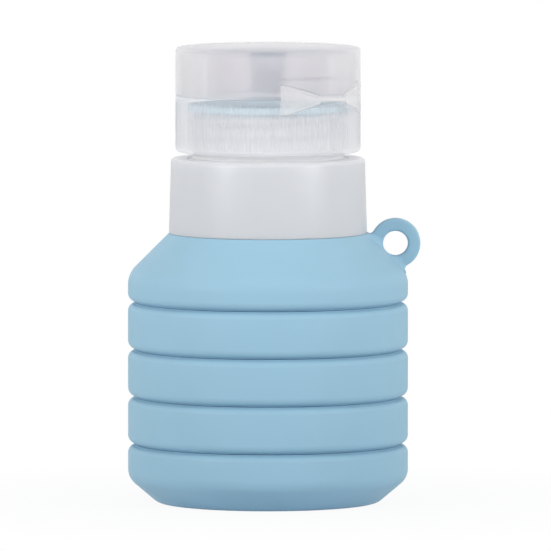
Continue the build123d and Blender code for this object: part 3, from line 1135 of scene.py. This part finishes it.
class BOTTLE_OT_hinge(bpy.types.Operator):
    """Build the bow-tie hinge across the parting line"""

    bl_idname = "bottle.hinge"
    bl_label = "Bow-tie hinge"

    corner = 0.16 * MM
    frame_w = 0.42 * MM
    dish = 0.16 * MM
    corner_steps = 5
    blend_u = 0.5 * MM
    # The columns near a plate's end stand this far from it
    near_end = np.array([0.55, 0.42, 0.25, 0.12, 0.05, 0]) * MM
    near_run = 0.7 * MM
    # The roll's corner stays a hair under its radius, so that the section's corners stay apart
    roll_share = 0.999

    def execute(self, context):
        """One section carried along the hinge line.

        The section is a rounded rectangle between the plates' inner and outer radii. Between the
        plates it turns into the roll's circle. The outer face is dished inside a narrow frame.
        """
        even = np.linspace(0, PLATE_END_U - self.near_run, 60, endpoint=False)
        half_run = np.concatenate([even, PLATE_END_U - self.near_end])
        u = np.concatenate([-half_run[::-1], half_run[1:]])[:, None]
        plate = smooth((np.abs(u) - PLATE_APEX_U + self.blend_u) / (2 * self.blend_u))
        flat = np.minimum(np.abs(u), CAP_R - PLATE_IN)
        outer = np.sqrt((CAP_R + PLATE_OUT) ** 2 - flat**2) - CAP_R
        inner = np.sqrt((CAP_R - PLATE_IN) ** 2 - flat**2) - CAP_R
        outer = plate * outer + (1 - plate) * ROLL_R
        inner = plate * inner - (1 - plate) * ROLL_R
        tall = plate * plate_half(u) + (1 - plate) * ROLL_R
        corner = plate * self.corner + (1 - plate) * ROLL_R * self.roll_share
        inset = np.maximum(np.abs(u) - PLATE_END_U + self.corner, 0)
        tip = self.corner - np.sqrt(np.maximum(self.corner**2 - inset**2, 0))
        outer, inner, tall = outer - tip, inner + tip, tall - tip
        dished = self.dish * plate * smooth((PLATE_END_U - self.frame_w - np.abs(u)) / self.corner)
        turn = np.linspace(0, math.pi / 2, self.corner_steps)[None]
        c, s = corner * np.cos(turn), corner * np.sin(turn)
        x = np.hstack([
            outer - dished, outer,
            outer - corner + c, inner + corner - c[:, ::-1],
            inner + corner - c, outer - corner + c[:, ::-1],
            outer, outer - dished,
        ])
        frame_z = np.maximum(tall - self.frame_w, tall * 0.5)
        z = np.hstack([
            frame_z * 0.9, frame_z,
            tall - corner + s, tall - corner + s[:, ::-1],
            -tall + corner - s, -tall + corner - s[:, ::-1],
            -frame_z, -frame_z * 0.9,
        ])
        points = (
            HINGE_POINT
            + u[..., None] * HINGE_ALONG
            + x[..., None] * HINGE_OUT
            + z[..., None] * np.array([0.0, 0.0, 1.0])
        )
        piece = surface("hinge_plates", closed_ends(points), around=False, sharp=35)
        dress(piece, "hinge", hinge_plastic(), "cap_plastic", "bow_tie_hinge")
        return {"FINISHED"}


# Stage


class BOTTLE_OT_stage(bpy.types.Operator):
    """Set the camera, the floor and the lights"""

    bl_idname = "bottle.stage"
    bl_label = "Stage"

    # The photograph is 551 pixels square; the bottle is 280 of them wide, and its axis is at 268
    photo_px = 551
    body_px = 280.0
    axis_px = 268.0
    floor_px = 502.0
    camera_far = 2.55
    camera_elevation = math.radians(4.25)
    sensor = 36.0
    lamp_out, lamp_front, lamp_up = 0.31, 0.22, 0.17
    lamp_watts = 5.3
    lamp_r = 0.09
    lamp_cone = math.radians(28)
    sky = 0.6
    floor_rings = (0.0, 0.1, 0.4, 1.2)
    floor_drop = 0.02 * MM
    floor_colour = (0.76, 0.79, 0.82, 1)
    # The floor's white begins with this share beside the bottle, and is whole from fade_r on
    floor_white = 0.93
    fade_r = 0.09

    def camera(self):
        """A long lens, level enough to show the cap's top as a thin ellipse."""
        px = 2 * BODY_R / self.body_px
        aim = Vector(((self.photo_px / 2 - self.axis_px) * px, 0, 0))
        aim.z = (self.floor_px - self.photo_px / 2) * px / math.cos(self.camera_elevation)
        data = bpy.data.cameras.new("camera")
        data.sensor_width = self.sensor
        data.lens = self.sensor * self.camera_far / (self.photo_px * px)
        data.clip_start, data.clip_end = 0.1, 20
        camera = bpy.data.objects.new("camera", data)
        back = Vector((0, -math.cos(self.camera_elevation), math.sin(self.camera_elevation)))
        camera.location = aim + back * self.camera_far
        camera.rotation_euler = (-back).to_track_quat("-Z", "Y").to_euler()
        bpy.context.scene.collection.objects.link(camera)
        bpy.context.scene.camera = camera

    def lamp(self, name, place):
        """A soft spot that looks at the collar's top, so that its light falls off towards the base."""
        data = bpy.data.lights.new(name, "SPOT")
        data.shadow_soft_size = self.lamp_r
        data.spot_size = self.lamp_cone
        data.spot_blend = 1.0
        data.energy = self.lamp_watts
        lamp = bpy.data.objects.new(name, data)
        lamp.location = place
        aim = Vector((0, 0, COLLAR_TOP_Z))
        lamp.rotation_euler = (aim - lamp.location).to_track_quat("-Z", "Y").to_euler()
        bpy.context.scene.collection.objects.link(lamp)

    def seen_white(self, tree, shader, share=None):
        """Mixes white light into a shader where the camera, a gloss or a clear piece looks at it.

        With a share, that part of the shader's own light is lost to white beside the bottle, and all
        of it from fade_r on.
        """

        def joined(operation, one, other):
            """A Math node on two values."""
            both = tree.nodes.new("ShaderNodeMath")
            both.operation = operation
            tree.links.new(one, both.inputs[0])
            tree.links.new(other, both.inputs[1])
            return both.outputs[0]

        path = wired(tree, "LightPath").outputs
        seen = joined("MAXIMUM", path["Is Camera Ray"], path["Is Glossy Ray"])
        seen = joined("MAXIMUM", seen, path["Is Transmission Ray"])
        if share:
            away = tree.nodes.new("ShaderNodeVectorMath")
            away.operation = "LENGTH"
            tree.links.new(wired(tree, "TexCoord").outputs["Object"], away.inputs[0])
            fade = wired(
                tree, "MapRange", Value=away.outputs["Value"],
                From_Min=BODY_R, From_Max=self.fade_r, To_Min=share,
            )
            seen = joined("MULTIPLY", seen, fade.outputs["Result"])
        white = wired(tree, "Emission" if share else "Background", Color=(1, 1, 1, 1))
        mix = wired(tree, "MixShader", Fac=seen)
        tree.links.new(shader, mix.inputs[1])
        tree.links.new(white.outputs[0], mix.inputs[2])
        return mix.outputs[0]

    def floor(self):
        """A round floor whose faces meet at its middle, white but for the bottle's faint shadow."""
        angle = np.linspace(0, TAU, 96, endpoint=False)
        rows = [(r, -self.floor_drop) for r in self.floor_rings]
        floor = surface("floor", swept_columns(angle, rows), across=False)
        finish = Finish("floor_finish")
        finish.set(Base_Color=self.floor_colour, Roughness=0.9, Specular_IOR_Level=0.0)
        mixed = self.seen_white(finish.tree, finish.shader.outputs[0], self.floor_white)
        finish.tree.links.new(mixed, finish.output.inputs["Surface"])
        floor.data.materials.append(finish.material)

    def execute(self, context):
        scene = bpy.context.scene
        scene.view_settings.view_transform = "Standard"
        scene.cycles.max_bounces = 32
        scene.cycles.transmission_bounces = 32
        scene.cycles.transparent_max_bounces = 32
        scene.cycles.diffuse_bounces = 10
        scene.cycles.sample_clamp_indirect = 2.0
        world = bpy.data.worlds.new("studio")
        scene.world = world
        world.use_nodes = True
        light = world.node_tree.nodes["Background"]
        light.inputs["Color"].default_value = (1.0, 1.0, 1.0, 1)
        light.inputs["Strength"].default_value = self.sky
        out = world.node_tree.nodes["World Output"]
        mixed = self.seen_white(world.node_tree, light.outputs[0])
        world.node_tree.links.new(mixed, out.inputs["Surface"])
        self.camera()
        self.lamp("left", (-self.lamp_out, -self.lamp_front, self.lamp_up))
        self.lamp("right", (self.lamp_out, -self.lamp_front, self.lamp_up))
        self.floor()
        return {"FINISHED"}


class BOTTLE_PT_panel(bpy.types.Panel):
    """Lists the bottle's settings and its pieces"""

    bl_idname = "BOTTLE_PT_panel"
    bl_label = "Travel Bottle"
    bl_space_type = "VIEW_3D"
    bl_region_type = "UI"
    bl_category = "Bottle"

    def draw(self, context):
        layout = self.layout
        for settings in (context.scene.bottle_silicone, context.scene.bottle_plastic):
            box = layout.box()
            for name in settings.__annotations__:
                box.prop(settings, name)
        for operator in OPERATORS:
            layout.operator(operator.bl_idname)


OPERATORS = (
    BOTTLE_OT_stage,
    BOTTLE_OT_tiers,
    BOTTLE_OT_folds,
    BOTTLE_OT_shoulder,
    BOTTLE_OT_collar,
    BOTTLE_OT_neck,
    BOTTLE_OT_seal,
    BOTTLE_OT_cap,
    BOTTLE_OT_lid,
    BOTTLE_OT_hinge,
)
CLASSES = (BottleSilicone, BottlePlastic) + OPERATORS + (BOTTLE_PT_panel,)


def register():
    """Adds the classes, and the settings to every scene."""
    for cls in CLASSES:
        bpy.utils.register_class(cls)
    bpy.types.Scene.bottle_silicone = PointerProperty(type=BottleSilicone)
    bpy.types.Scene.bottle_plastic = PointerProperty(type=BottlePlastic)


def unregister():
    """Takes the settings and the classes away."""
    del bpy.types.Scene.bottle_plastic
    del bpy.types.Scene.bottle_silicone
    for cls in reversed(CLASSES):
        bpy.utils.unregister_class(cls)


def main():
    """Builds every piece in order."""
    register()
    for operator in OPERATORS:
        group, name = operator.bl_idname.split(".")
        result = getattr(getattr(bpy.ops, group), name)()
        if "FINISHED" not in result:
            raise RuntimeError(f"{operator.bl_idname} did not finish")
    bpy.context.view_layer.update()


if __name__ == "__main__":
    main()
